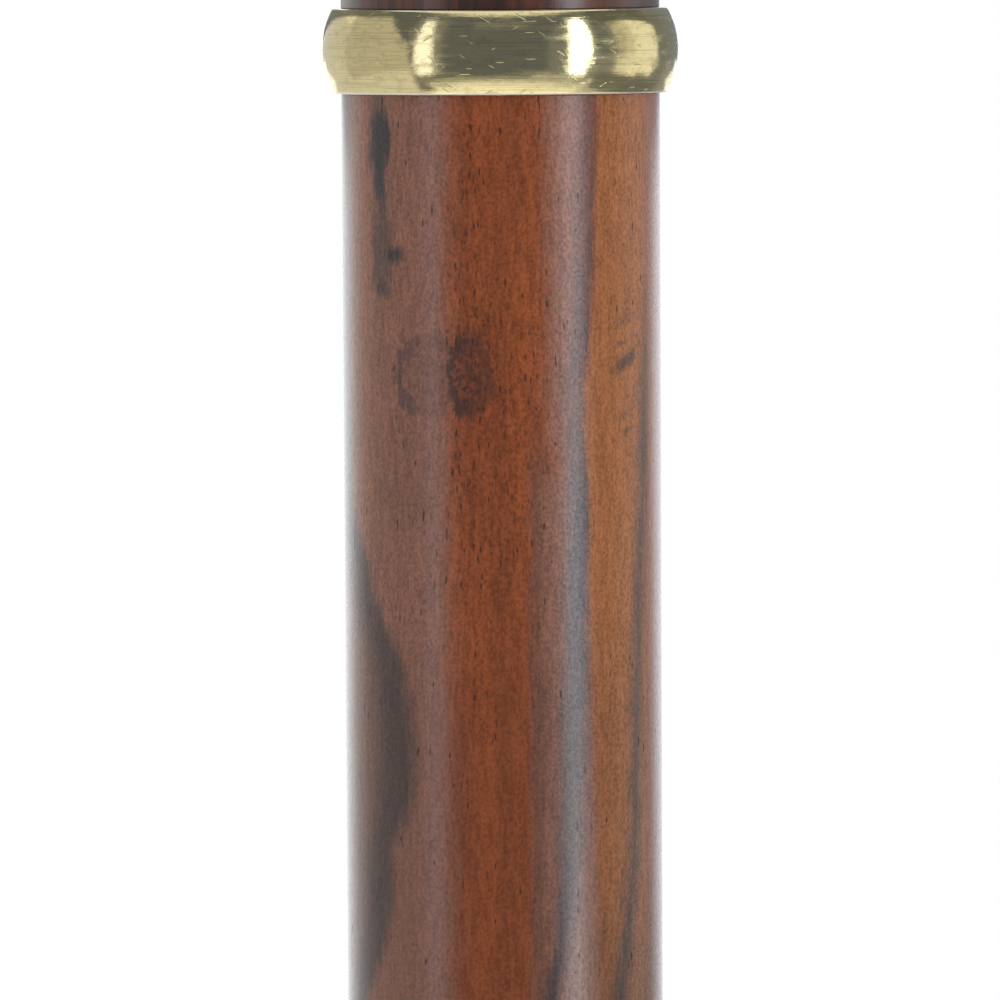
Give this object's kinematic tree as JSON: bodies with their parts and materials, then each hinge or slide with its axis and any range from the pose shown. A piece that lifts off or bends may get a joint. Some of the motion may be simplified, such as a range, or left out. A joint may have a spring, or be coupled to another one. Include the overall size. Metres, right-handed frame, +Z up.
{
  "type": "knob-headed walking stick",
  "caption": "Straight tapered hardwood walking stick with a turned knob head, a domed brass collar over the glued joint and a push-on rubber ferrule at the tip.",
  "frame": {"origin": "centre of the ferrule's sole, on the floor that the stick stands on", "axes": "+Z up along the stick's axis, from the ferrule to the knob; the stick is round, so +X and +Y are any two sides, with the pictured side facing -Y"},
  "size_m": [0.046, 0.046, 0.9144],
  "materials": {
    "knob_wood": "dark streaked hardwood under clear gloss lacquer",
    "collar_brass": "polished, lightly scratched",
    "stud_steel": "bright zinc",
    "shaft_wood": "red-brown streaked hardwood under clear gloss lacquer",
    "ferrule_rubber": "moulded, matte",
    "washer_steel": "bright zinc"
  },
  "bodies": {
    "root": {"knob": "knob_wood", "collar": "collar_brass", "joining_stud": "stud_steel", "shaft": "shaft_wood", "ferrule": "ferrule_rubber", "ferrule_washer": "washer_steel"}
  },
  "joints": []
}
